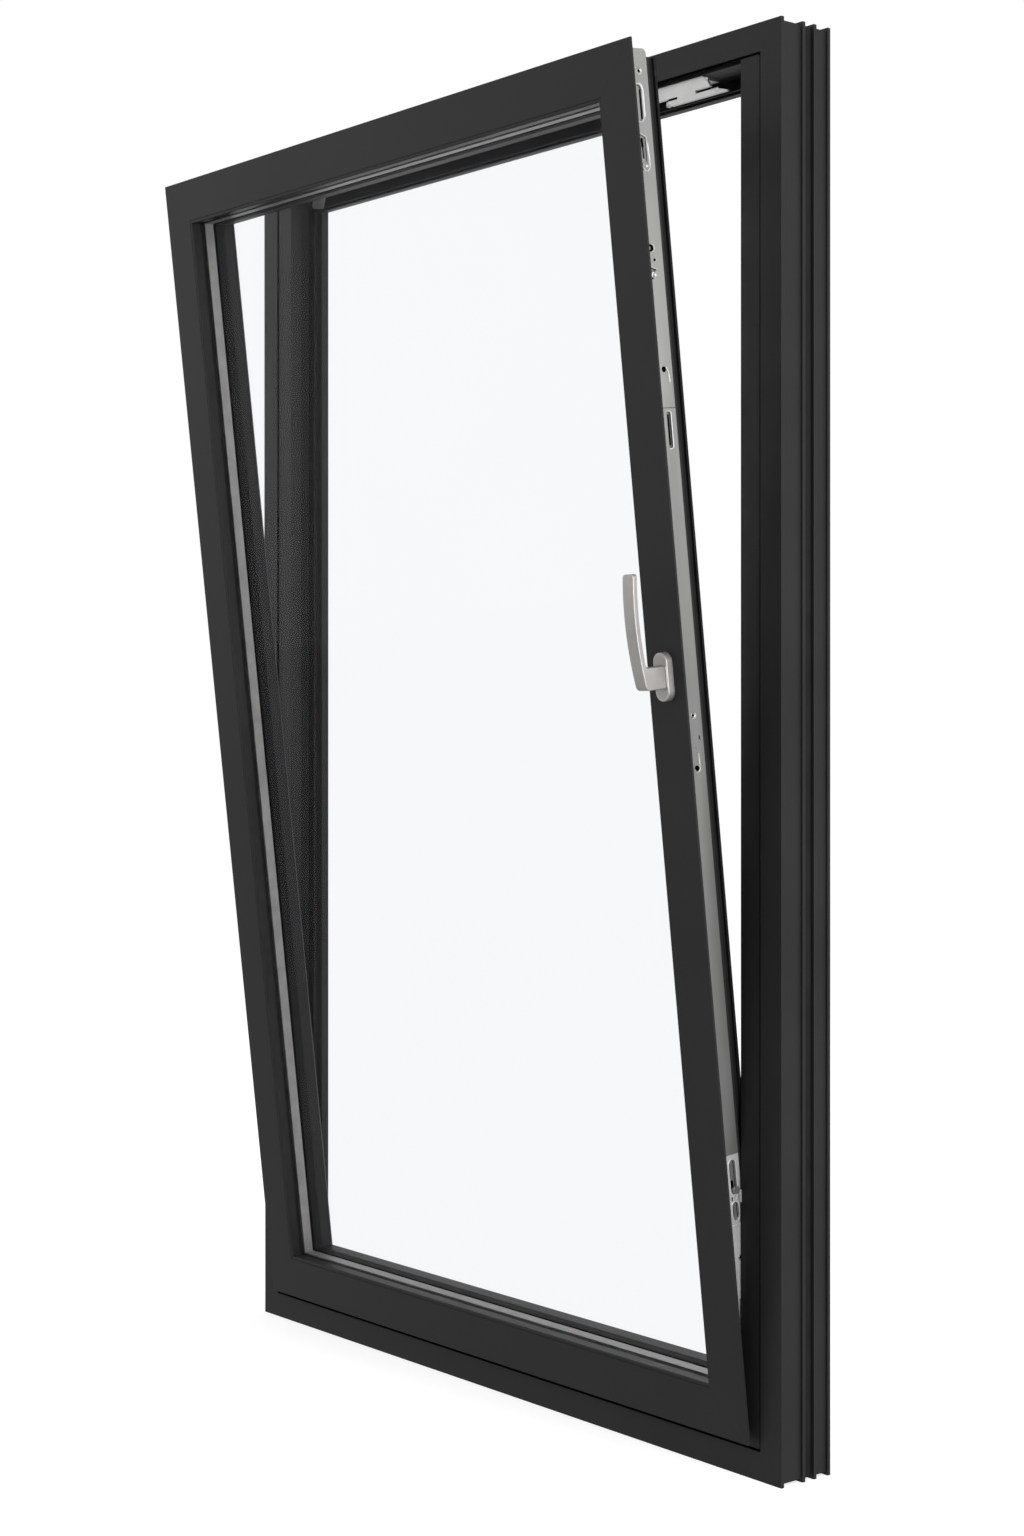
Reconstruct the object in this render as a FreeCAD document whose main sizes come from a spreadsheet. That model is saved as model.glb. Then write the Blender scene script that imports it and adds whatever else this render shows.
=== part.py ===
# Tilt and turn window: thermally broken aluminium frame and double-glazed sash, shown tilted into the room.
# X runs along the wall, Y from the room to the outdoors, Z up. The origin is the middle of the flat band
# under the sill, where the frame stands in the wall opening.
import FreeCAD, Part
import math
import os
import re
import Sketcher

# Every size in millimetres and every angle in degrees. Depths are counted from the room face of the member,
# widths from its outer edge towards the glass, heights and drops from the sash's or plate's own ends.
SIZES = {
    # whole window
    "frame_width": 950.0,
    "frame_height": 1500.0,
    "frame_depth": 72.0,
    # frame section
    "side_step": 3.0,
    "front_lip": 4.0,
    "middle_lip": 4.0,
    "room_shell": 35.0,
    "rim_width": 30.0,
    "groove_width": 2.0,
    "groove_depth": 4.0,
    "landing_drop": 1.5,
    "landing_width": 60.0,
    "landing_back": 7.0,
    "keep_floor": 34.0,
    "head_recess": 8.0,
    "break_depth": 11.0,
    "outer_groove": 1.5,
    "outer_lip": 4.0,
    "leg_width": 46.0,
    "leg_depth": 12.0,
    "leg_bevel": 2.0,
    # sash section
    "sash_inset": 36.0,
    "sash_raise": 4.0,
    "sash_proud": 12.0,
    "sash_face": 50.0,
    "sash_depth": 66.0,
    "sash_room_shell": 47.0,
    "sash_break": 10.0,
    "break_lip": 3.0,
    "flange_depth": 2.5,
    "overlap": 26.0,
    "plate_start": 24.0,
    "plate_width": 20.0,
    "plate_thickness": 3.0,
    "channel_width": 10.0,
    "channel_depth": 8.0,
    "outer_leg_start": 38.0,
    "sash_bevel": 3.0,
    "upstand_drop": 12.0,
    "upstand_back": 7.0,
    # glazing
    "bead_width": 4.0,
    "bead_depth": 12.0,
    "bead_foot": 4.0,
    "bead_round": 1.0,
    "glazing_bite": 12.0,
    "pane_gap": 12.0,
    "pane_thickness": 4.0,
    "gasket": 4.0,
    "outer_gasket": 12.0,
    "pane_clearance": 3.0,
    "spacer_height": 8.0,
    "spacer_inset": 1.0,
    "fit": 0.3,
    # gaskets of the opening
    "overlap_gasket_margin": 18.0,
    "overlap_gasket_width": 6.0,
    "centre_gasket_height": 12.0,
    "centre_gasket_inset": 1.0,
    # tilt
    "sash_tilt": 6.6,
    "pivot_depth": 14.0,
    "pivot_height": 50.0,
    "pin_radius": 2.4,
    "pin_play": 0.1,
    "pin_overhang": 2.0,
    "ear_radius": 4.5,
    "ear_thickness": 6.0,
    "bearing_plate": 3.0,
    "bearing_length": 50.0,
    "bearing_offset": 60.0,
    "bearing_margin": 1.0,
    # handle
    "handle_height": 795.0,
    "rosette_width": 20.0,
    "rosette_height": 50.0,
    "rosette_thickness": 8.5,
    "rosette_round": 1.2,
    "lever_reach": 27.0,
    "lever_lean": 6.0,
    "lever_bow": 5.0,
    "lever_length": 118.0,
    "lever_width": 16.0,
    "lever_thickness": 5.8,
    "lever_round": 1.0,
    "tip_round": 3.5,
    "neck_height": 23.0,
    "neck_round": 3.0,
    "foot_round": 6.0,
    # plates on the lock stile
    "plate_top_gap": 4.0,
    "plate_corner_round": 5.0,
    "upper_plate_length": 359.0,
    "plate_joint": 0.4,
    "lower_plate_start": 294.0,
    "screw_radius": 2.0,
    "screw_inset": 8.5,
    "screw_drop": 22.6,
    "cam_slot_start": 0.7,
    "cam_slot_width": 9.6,
    "cam_slot_drop": 35.6,
    "cam_slot_length": 37.0,
    "latch_window_drop": 84.2,
    "latch_window_length": 37.0,
    "latch_window_slant": 4.0,
    "window_depth": 2.2,
    "latch_disc_radius": 4.6,
    "latch_disc_thickness": 2.0,
    "square_notch_drop": 194.8,
    "square_notch_size": 7.6,
    "small_hole_radius": 1.6,
    "small_hole_drop": 210.5,
    "hook_notch_drop": 217.2,
    "hook_notch_length": 13.0,
    "guide_hole_radius": 3.0,
    "guide_hole_drop": 320.4,
    "raised_length": 33.0,
    "raised_height": 0.6,
    "raised_margin": 2.0,
    "rod_slot_width": 5.5,
    "rod_slot_drop": 3.0,
    "rod_slot_length": 38.0,
    "gear_screw_drop": 43.5,
    "gear_slot_drop": 65.0,
    "gear_recess_drop": 76.0,
    "gear_recess_length": 22.0,
    "gear_recess_depth": 0.8,
    # locking rod
    "rod_width": 8.0,
    "rod_thickness": 2.5,
    "rod_end_gap": 60.0,
    "cam_neck_radius": 3.0,
    "cam_head_radius": 4.2,
    "cam_head_thickness": 2.0,
    "cam_height": 4.0,
    # forked plate under the lower faceplate
    "fork_plate_length": 250.0,
    "fork_cam_drop": 37.0,
    "fork_upper_slot": 32.0,
    "fork_lower_slot": 20.0,
    "fork_lower_drop": 49.5,
    "fork_tab_drop": 38.0,
    "fork_tab_length": 13.0,
    "fork_tab_width": 5.0,
    "fork_tab_height": 3.0,
    "fork_raised_drop": 73.0,
    "fork_gap_drop": 151.0,
    "fork_gap_start": 6.0,
    "fork_gap_width": 4.5,
    "fork_short_drop": 234.0,
    "fork_hole_radius": 2.2,
    # keep under the head
    "keep_offset": 88.0,
    "keep_length": 127.0,
    "keep_face_depth": 1.0,
    "keep_thickness": 3.0,
    "keep_face_height": 23.5,
    "keep_strip_height": 15.0,
    "keep_upper_end": 38.5,
    "keep_nose": 13.0,
    "keep_slot_drop": 13.5,
    "keep_slot_height": 3.5,
    "keep_slot_length": 23.0,
    "keep_lobe": 17.0,
    "keep_tip_drop": 22.0,
    "keep_hook_start": 94.0,
    "keep_hook_length": 17.7,
    "keep_hook_gap": 2.2,
    # keeps on the lock jamb
    "jamb_keep_length": 60.0,
    "jamb_keep_reach": 25.0,
    "jamb_keep_wall": 4.0,
    # stay
    "stay_arm_width": 14.0,
    "stay_arm_thickness": 4.0,
    "stay_arm_length": 300.0,
    "stay_drop": 16.0,
    "stay_pin_radius": 4.0,
    "stay_plate_length": 90.0,
}

doc = FreeCAD.newDocument("tilt_and_turn_window")
sheet = doc.addObject("Spreadsheet::Sheet", "dims")
for row, (alias, number) in enumerate(SIZES.items(), start=1):
    sheet.set(f"A{row}", alias)
    sheet.set(f"B{row}", str(number))
    sheet.setAlias(f"B{row}", alias)
doc.recompute()

X_AXIS = FreeCAD.Vector(1, 0, 0)
Y_AXIS = FreeCAD.Vector(0, 1, 0)
Z_AXIS = FreeCAD.Vector(0, 0, 1)
SIDES = ("bottom", "top", "hinge", "lock")
SASH_WIDTH = "( frame_width - 2 * sash_inset )"
SASH_HEIGHT = "( frame_height - 2 * sash_inset )"
PLATE_END = "plate_start + plate_width"
nodes = []


def size(alias):
    return float(getattr(sheet, alias))


def bound(text):
    """Writes the sheet's name before each size in an expression."""
    return re.sub(r"[a-z_]+", lambda word: "dims." + word.group() if word.group() in SIZES else word.group(), text)


def sash_width():
    return size("frame_width") - 2 * size("sash_inset")


def sash_height():
    return size("frame_height") - 2 * size("sash_inset")


# Places of the frame, the sash and their members

def place(x=0.0, y=0.0, z=0.0, axis=Z_AXIS, angle=0.0):
    return FreeCAD.Placement(FreeCAD.Vector(x, y, z), FreeCAD.Rotation(axis, angle))


def frame_place():
    band_middle = (size("front_lip") + size("room_shell") - size("middle_lip")) / 2
    return place(0, -band_middle, -size("side_step"))


def sash_place():
    tilted = place(0, size("pivot_depth"), size("pivot_height"), X_AXIS, size("sash_tilt"))
    foot = size("sash_inset") + size("sash_raise") - size("pivot_height")
    return frame_place().multiply(tilted).multiply(place(0, -size("sash_proud") - size("pivot_depth"), foot))


def member_place(side, width, height):
    """Puts a member's length on X, its depth on Y and its width, towards the glass, on Z."""
    if side == "bottom":
        return place()
    if side == "top":
        return place(0, 0, height, Y_AXIS, 180)
    if side == "hinge":
        return place(-width / 2, 0, height / 2, Y_AXIS, 90)
    return place(width / 2, 0, height / 2, Y_AXIS, -90)


def stile_place():
    """The plane of the hardware on the lock stile: X out of the stile, Y its depth, Z up from the sash's foot."""
    return sash_place().multiply(place(sash_width() / 2 - size("overlap"), 0, 0))


# Sketches

def new_body(label, placement):
    body = doc.addObject("PartDesign::Body", label)
    body.Label = label
    body.AllowCompound = True
    body.Placement = placement
    nodes.append(body)
    return body


def new_sketch(body, plane_role, purpose):
    sketch = body.newObject("Sketcher::SketchObject", f"{body.Name}_{purpose}")
    plane = [item for item in body.Origin.OriginFeatures if item.Role == plane_role][0]
    sketch.AttachmentSupport = [(plane, "")]
    sketch.MapMode = "FlatFace"
    return sketch


def tie(sketch, constraint, text):
    row = sketch.addConstraint(constraint)
    sketch.setExpression(f"Constraints[{row}]", bound(text))


def tie_point(sketch, geometry, point, across, along, guess):
    tie(sketch, Sketcher.Constraint("DistanceX", -1, 1, geometry, point, guess.x), across)
    tie(sketch, Sketcher.Constraint("DistanceY", -1, 1, geometry, point, guess.y), along)


def outline(sketch, corners):
    """A closed outline whose corners are pairs of expressions on the sheet."""
    first = sketch.GeometryCount
    count = len(corners)
    guesses = []
    for i in range(count):
        turn = 2 * math.pi * i / count
        guesses.append(FreeCAD.Vector(50 * math.cos(turn), 50 * math.sin(turn), 0))
    for i in range(count):
        sketch.addGeometry(Part.LineSegment(guesses[i], guesses[(i + 1) % count]), False)
    for i in range(count):
        sketch.addConstraint(Sketcher.Constraint("Coincident", first + i, 2, first + (i + 1) % count, 1))
    for i, (across, along) in enumerate(corners):
        tie_point(sketch, first + i, 1, across, along, guesses[i])


def rectangle(sketch, left, right, low, high):
    outline(sketch, [(left, low), (right, low), (right, high), (left, high)])


def circle(sketch, across, along, radius):
    guess = FreeCAD.Vector(10, 10, 0)
    ring = sketch.addGeometry(Part.Circle(guess, Z_AXIS, 5), False)
    tie_point(sketch, ring, 3, across, along, guess)
    tie(sketch, Sketcher.Constraint("Radius", ring, 5), radius)


def upright_slot(sketch, left, right, low, high):
    """A slot with round ends, its long sides along the sketch's second axis."""
    radius = f"( ( {right} ) - ( {left} ) ) / 2"
    first = sketch.GeometryCount
    right_foot = FreeCAD.Vector(5, -20, 0)
    right_head = FreeCAD.Vector(5, 20, 0)
    left_head = FreeCAD.Vector(-5, 20, 0)
    left_foot = FreeCAD.Vector(-5, -20, 0)
    upper = Part.Circle(FreeCAD.Vector(0, 20, 0), Z_AXIS, 5)
    lower = Part.Circle(FreeCAD.Vector(0, -20, 0), Z_AXIS, 5)
    sketch.addGeometry(Part.LineSegment(right_foot, right_head), False)
    sketch.addGeometry(Part.ArcOfCircle(upper, 0, math.pi), False)
    sketch.addGeometry(Part.LineSegment(left_head, left_foot), False)
    sketch.addGeometry(Part.ArcOfCircle(lower, math.pi, 2 * math.pi), False)
    for i in range(4):
        sketch.addConstraint(Sketcher.Constraint("Coincident", first + i, 2, first + (i + 1) % 4, 1))
    tie_point(sketch, first, 1, right, f"( {low} ) + {radius}", right_foot)
    tie_point(sketch, first, 2, right, f"( {high} ) - {radius}", right_head)
    tie_point(sketch, first + 2, 1, left, f"( {high} ) - {radius}", left_head)
    tie_point(sketch, first + 2, 2, left, f"( {low} ) + {radius}", left_foot)
    tie(sketch, Sketcher.Constraint("DistanceY", -1, 1, first + 1, 3, 20), f"( {high} ) - {radius}")
    tie(sketch, Sketcher.Constraint("DistanceY", -1, 1, first + 3, 3, -20), f"( {low} ) + {radius}")


# Features

def pad(body, sketch, low, high):
    """Fills a sketch from one level to another along its normal."""
    feature = body.newObject("PartDesign::Pad", sketch.Name + "_pad")
    feature.Profile = sketch
    feature.SideType = "Two sides"
    feature.setExpression("Length", bound(high))
    feature.setExpression("Length2", bound(f"-1 * ( {low} )"))
    return feature


def cut_through(body, sketch):
    feature = body.newObject("PartDesign::Pocket", sketch.Name + "_cut")
    feature.Profile = sketch
    feature.Type = "ThroughAll"
    feature.SideType = "Symmetric"
    return feature


def recess(body, sketch, depth):
    """Cuts a sketch on the outer face to a depth against its normal."""
    feature = body.newObject("PartDesign::Pocket", sketch.Name + "_recess")
    feature.Profile = sketch
    feature.setExpression("Length", bound(depth))
    return feature


def round_edges(body, chosen, radius, purpose):
    """Rounds the edges of the body so far for which the test holds."""
    doc.recompute()
    tip = body.Tip
    names = [f"Edge{i}" for i, edge in enumerate(tip.Shape.Edges, start=1) if chosen(edge)]
    feature = body.newObject("PartDesign::Fillet", f"{body.Name}_{purpose}")
    feature.Base = (tip, names)
    feature.setExpression("Radius", bound(radius))
    return feature


def runs_along(edge, axis):
    """Whether an edge is straight and parallel to an axis."""
    ends = [vertex.Point for vertex in edge.Vertexes]
    return len(ends) == 2 and edge.Curve.TypeId == "Part::GeomLine" and \
        (ends[1] - ends[0]).normalize().cross(axis).Length < 1e-6


# Sections of the profiles, as pairs of depth and width

def frame_room_shell(with_landing):
    side = [
        ("0", "0"), ("front_lip", "0"), ("front_lip", "side_step"),
        ("room_shell - middle_lip", "side_step"), ("room_shell - middle_lip", "0"), ("room_shell", "0"),
        ("room_shell", "keep_floor"),
    ]
    landing = [
        ("landing_back", "keep_floor"), ("landing_back", "landing_width"), ("landing_drop", "landing_width"),
        ("landing_drop", "rim_width + groove_width"), ("groove_depth", "rim_width + groove_width"),
        ("groove_depth", "rim_width"), ("0", "rim_width"),
    ]
    open_head = [("head_recess", "keep_floor"), ("head_recess", "rim_width"), ("0", "rim_width")]
    return side + (landing if with_landing else open_head)


def frame_outer_shell():
    start = "room_shell + break_depth"
    return [
        (start, "2 * side_step"), (start + " + outer_groove", "2 * side_step"), (start + " + outer_groove", "0"),
        (start + " + outer_groove + outer_lip", "0"), (start + " + outer_groove + outer_lip", "side_step"),
        ("frame_depth - outer_lip", "side_step"), ("frame_depth - outer_lip", "0"), ("frame_depth", "0"),
        ("frame_depth", "leg_width - leg_bevel"), ("frame_depth - leg_bevel", "leg_width"),
        ("frame_depth - leg_depth", "leg_width"), ("frame_depth - leg_depth", "keep_floor"),
        (start, "keep_floor"),
    ]


def frame_break():
    end = "room_shell + break_depth"
    return [("room_shell", "side_step"), (end, "side_step"), (end, "keep_floor"), ("room_shell", "keep_floor")]


REBATE = "sash_face + bead_width - glazing_bite"


def sash_room_shell():
    slot_start = "plate_start + ( plate_width - channel_width ) / 2"
    slot_end = "plate_start + ( plate_width + channel_width ) / 2"
    floor = "overlap + plate_thickness"
    return [
        ("0", "0"), ("flange_depth", "0"), ("flange_depth", "overlap"),
        ("plate_start", "overlap"), ("plate_start", floor), (slot_start, floor),
        (slot_start, floor + " + channel_depth"), (slot_end, floor + " + channel_depth"), (slot_end, floor),
        (PLATE_END, floor), (PLATE_END, "overlap"), ("sash_room_shell", "overlap"),
        ("sash_room_shell", REBATE), ("bead_depth - bead_foot", REBATE),
        ("bead_depth - bead_foot", "sash_face"), ("0", "sash_face"),
    ]


def sash_outer_shell():
    start = "sash_room_shell + sash_break"
    glass_back = "bead_depth + gasket + 2 * pane_thickness + pane_gap + outer_gasket"
    sight = "sash_face + bead_width"
    return [
        (start, "outer_leg_start"), ("sash_depth", "outer_leg_start"),
        ("sash_depth", sight + " - sash_bevel"), ("sash_depth - sash_bevel", sight),
        (glass_back, sight), (glass_back, REBATE), (start, REBATE),
    ]


def sash_break():
    end = "sash_room_shell + sash_break"
    floor = "overlap + plate_thickness"
    return [
        ("sash_room_shell", floor), (end + " - break_lip", floor), (end + " - break_lip", "overlap"),
        (end, "overlap"), (end, REBATE), ("sash_room_shell", REBATE),
    ]


def bead_section():
    hook = "bead_depth - bead_foot + fit"
    seat = REBATE + " + fit"
    return [
        ("fit", "sash_face + fit"), (hook, "sash_face + fit"), (hook, seat), ("bead_depth", seat),
        ("bead_depth", "sash_face + bead_width"), ("fit + bead_round", "sash_face + bead_width"),
        ("fit", "sash_face + bead_width - bead_round"),
    ]


# Mitred members of the frame and the sash

def member(label, ring, side, sections, reach):
    """A bar of the given sections along one side of the frame or the sash, mitred at both ends."""
    if ring == "frame":
        base, width, height = frame_place(), size("frame_width"), size("frame_height")
        length = "frame_width" if side in ("bottom", "top") else "frame_height"
    else:
        base, width, height = sash_place(), sash_width(), sash_height()
        length = SASH_WIDTH if side in ("bottom", "top") else SASH_HEIGHT
    body = new_body(label, base.multiply(member_place(side, width, height)))
    profile = new_sketch(body, "YZ_Plane", "profile")
    for section in sections:
        outline(profile, section)
    pad(body, profile, f"-1 * ( {length} ) / 2", f"( {length} ) / 2")
    mitres = new_sketch(body, "XZ_Plane", "mitres")
    for sign in ("-1", "1"):
        tip = f"{sign} * ( ( {length} ) / 2 + fit )"
        outline(mitres, [
            (tip, "-1 * fit"),
            (f"{sign} * ( ( {length} ) / 2 - ( {reach} ) - fit )", f"( {reach} ) + fit"),
            (tip, f"( {reach} ) + fit"),
        ])
    cut_through(body, mitres)
    return body


def run_landing_to_head(jamb, side):
    """Carries the jamb's landing past the mitre, up to the open head."""
    sign = "1" if side == "lock" else "-1"
    corner = new_sketch(jamb, "XZ_Plane", "landing_end")
    outline(corner, [
        (f"{sign} * ( frame_height / 2 - keep_floor )", "keep_floor"),
        (f"{sign} * ( frame_height / 2 - landing_width )", "landing_width"),
        (f"{sign} * ( frame_height / 2 - rim_width )", "landing_width"),
        (f"{sign} * ( frame_height / 2 - rim_width )", "keep_floor"),
    ])
    pad(jamb, corner, "-1 * landing_back", "-1 * landing_drop")


def raise_corner(rail, stretches):
    """Carries the end of the top rail up behind the faceplate; each stretch is a start, an end and a set-back."""
    for i, (start, end, back) in enumerate(stretches):
        block = new_sketch(rail, "YZ_Plane", f"corner_{i}")
        rectangle(block, start, end, "upstand_drop", "overlap + plate_thickness + fit")
        end_of_rail = f"-1 * {SASH_WIDTH} / 2 + overlap"
        pad(rail, block, f"{end_of_rail} + {back}", f"{end_of_rail} + upstand_back")


FRAME_NAMES = {"bottom": "sill", "top": "head", "hinge": "hinge_jamb", "lock": "lock_jamb"}
SASH_NAMES = {"bottom": "bottom_rail", "top": "top_rail", "hinge": "hinge_stile", "lock": "lock_stile"}


def build_frame():
    for side in SIDES:
        sections = [frame_room_shell(side != "top"), frame_outer_shell()]
        bar = member("frame_" + FRAME_NAMES[side], "frame", side, sections, "landing_width")
        if side in ("hinge", "lock"):
            run_landing_to_head(bar, side)
        member("thermal_break_" + FRAME_NAMES[side], "frame", side, [frame_break()], "keep_floor")


def build_sash():
    reach = "sash_face + bead_width"
    for side in SIDES:
        sections = [sash_room_shell(), sash_outer_shell()]
        shells = member("sash_" + SASH_NAMES[side], "sash", side, sections, reach)
        strip = member("sash_break_" + SASH_NAMES[side], "sash", side, [sash_break()], reach)
        if side == "top":
            break_end = "sash_room_shell + sash_break"
            raise_corner(shells, [("plate_start", "sash_room_shell", "plate_thickness"),
                                  (PLATE_END, "sash_room_shell", "0")])
            raise_corner(strip, [("sash_room_shell", break_end, "plate_thickness"),
                                 (break_end + " - break_lip", break_end, "0")])
        member("glazing_bead_" + side, "sash", side, [bead_section()], reach)


# Glazing and gaskets

def sheet_on(ring, label, depth, thickness, margin, inner_margin=None):
    """A sheet at a depth, inset from the outer edge of the frame or sash, or a ring if it has an inner margin."""
    base = frame_place() if ring == "frame" else sash_place()
    width = "frame_width" if ring == "frame" else SASH_WIDTH
    height = "frame_height" if ring == "frame" else SASH_HEIGHT
    body = new_body(label, base.multiply(place(0, depth, 0)))
    face = new_sketch(body, "XZ_Plane", "face")
    for edge in (margin, inner_margin):
        if edge is not None:
            half = f"( {width} / 2 - ( {edge} ) )"
            rectangle(face, f"-1 * {half}", half, edge, f"{height} - ( {edge} )")
    pad(body, face, f"-1 * ( {thickness} )", "0")


def build_glazing():
    edge = REBATE + " + pane_clearance"
    sight = "sash_face + bead_width"
    inner = size("bead_depth") + size("gasket")
    gap = inner + size("pane_thickness")
    outer = gap + size("pane_gap")
    sheet_on("sash", "inner_glazing_gasket", size("bead_depth"), "gasket", edge, sight)
    sheet_on("sash", "inner_pane", inner, "pane_thickness", edge)
    sheet_on("sash", "spacer_bar", gap, "pane_gap", edge + " + spacer_inset",
             edge + " + spacer_inset + spacer_height")
    sheet_on("sash", "outer_pane", outer, "pane_thickness", edge)
    sheet_on("sash", "outer_glazing_gasket", outer + size("pane_thickness"), "outer_gasket", edge, sight)


def build_gaskets():
    reach = "sash_proud + landing_drop - flange_depth"
    sheet_on("sash", "overlap_gasket", size("flange_depth"), reach, "overlap_gasket_margin",
             "overlap_gasket_margin + overlap_gasket_width")
    depth = size("room_shell") + size("break_depth") + size("centre_gasket_inset")
    sheet_on("frame", "centre_gasket", depth, "gasket", "keep_floor", "keep_floor + centre_gasket_height")


# Faceplates, forked plate and rod on the lock stile

def stile_plate(label, low, high):
    """A flat plate let into the lock stile between two heights on the sash."""
    body = new_body(label, stile_place())
    face = new_sketch(body, "YZ_Plane", "face")
    rectangle(face, "plate_start", PLATE_END, low, high)
    pad(body, face, "-1 * plate_thickness", "0")
    return body


PLATE_TOP = f"( {SASH_HEIGHT} - plate_top_gap )"
PLATE_SPLIT = f"( {PLATE_TOP} - upper_plate_length )"
SCREW_LINE = "plate_start + screw_inset"


def build_upper_faceplate():
    plate = stile_plate("upper_faceplate", PLATE_SPLIT, PLATE_TOP)
    holes = new_sketch(plate, "YZ_Plane", "holes")
    circle(holes, SCREW_LINE, f"{PLATE_TOP} - screw_drop", "screw_radius")
    circle(holes, SCREW_LINE, f"{PLATE_TOP} - small_hole_drop", "small_hole_radius")
    circle(holes, SCREW_LINE, f"{PLATE_TOP} - guide_hole_drop", "guide_hole_radius")
    cut_through(plate, holes)
    windows = new_sketch(plate, "YZ_Plane", "windows")
    upright_slot(windows, "plate_start + cam_slot_start", "plate_start + cam_slot_start + cam_slot_width",
                 f"{PLATE_TOP} - cam_slot_drop - cam_slot_length", f"{PLATE_TOP} - cam_slot_drop")
    window_top = f"{PLATE_TOP} - latch_window_drop"
    window_end = "plate_start + cam_slot_start + cam_slot_width"
    outline(windows, [
        ("plate_start + cam_slot_start / 2", window_top),
        ("plate_start + cam_slot_start / 2", f"{window_top} - latch_window_length"),
        (window_end, f"{window_top} - latch_window_length"),
        (window_end, f"{window_top} - latch_window_slant"),
    ])
    recess(plate, windows, "window_depth")
    notch_top = f"{PLATE_TOP} - hook_notch_drop"
    notch = new_sketch(plate, "YZ_Plane", "hook_notch")
    outline(notch, [
        ("plate_start - fit", notch_top),
        ("plate_start - fit", f"{notch_top} - hook_notch_length"),
        ("plate_start + plate_width / 4", f"{notch_top} - hook_notch_length"),
        ("plate_start + plate_width / 4", f"{notch_top} - hook_notch_length / 2"),
        ("plate_start + plate_width / 2", f"{notch_top} - hook_notch_length / 4"),
    ])
    cut_through(plate, notch)
    keyhole = new_sketch(plate, "YZ_Plane", "square_notch")
    square_low = f"{PLATE_TOP} - square_notch_drop - square_notch_size"
    rectangle(keyhole, "plate_start - fit", "plate_start + square_notch_size * 2 / 3", square_low,
              f"{PLATE_TOP} - square_notch_drop")
    cut_through(plate, keyhole)
    half_round = new_sketch(plate, "YZ_Plane", "half_round")
    circle(half_round, "plate_start + square_notch_size * 2 / 3", f"{square_low} + square_notch_size / 2",
           "square_notch_size / 2 - 2 * fit")
    cut_through(plate, half_round)
    disc = new_sketch(plate, "YZ_Plane", "latch_disc")
    circle(disc, SCREW_LINE, f"{window_top} - latch_window_length + latch_disc_radius - fit",
           "latch_disc_radius")
    pad(plate, disc, "-1 * plate_thickness", "latch_disc_thickness - plate_thickness")
    raised = new_sketch(plate, "YZ_Plane", "raised_panel")
    rectangle(raised, "plate_start + raised_margin", f"{PLATE_END} - raised_margin", PLATE_SPLIT,
              f"{PLATE_SPLIT} + raised_length")
    pad(plate, raised, "0", "raised_height")

    def top_corner(edge):
        return runs_along(edge, X_AXIS) and edge.BoundBox.ZMin > sash_height() - size("plate_top_gap") - 0.1 \
            and edge.BoundBox.YMin > size("plate_start") + size("plate_width") - 0.1

    round_edges(plate, top_corner, "plate_corner_round", "corner")


def build_lower_faceplate():
    top = f"( {PLATE_SPLIT} - plate_joint )"
    plate = stile_plate("lower_faceplate", "lower_plate_start", top)
    holes = new_sketch(plate, "YZ_Plane", "holes")
    upright_slot(holes, "plate_start + ( plate_width - rod_slot_width ) / 2",
                 "plate_start + ( plate_width + rod_slot_width ) / 2",
                 f"{top} - rod_slot_drop - rod_slot_length", f"{top} - rod_slot_drop")
    circle(holes, SCREW_LINE, "handle_height - gear_screw_drop", "screw_radius")
    circle(holes, SCREW_LINE, "handle_height - gear_recess_drop - gear_recess_length", "guide_hole_radius")
    rectangle(holes, f"{PLATE_END} - 3 * raised_margin", f"{PLATE_END} - 2 * raised_margin",
              "handle_height - gear_slot_drop - raised_margin * 2", "handle_height - gear_slot_drop")
    cut_through(plate, holes)
    gear = new_sketch(plate, "YZ_Plane", "gear")
    rectangle(gear, "plate_start + raised_margin", "plate_start + plate_width / 2",
              "handle_height - gear_recess_drop - gear_recess_length", "handle_height - gear_recess_drop")
    recess(plate, gear, "gear_recess_depth")


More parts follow.
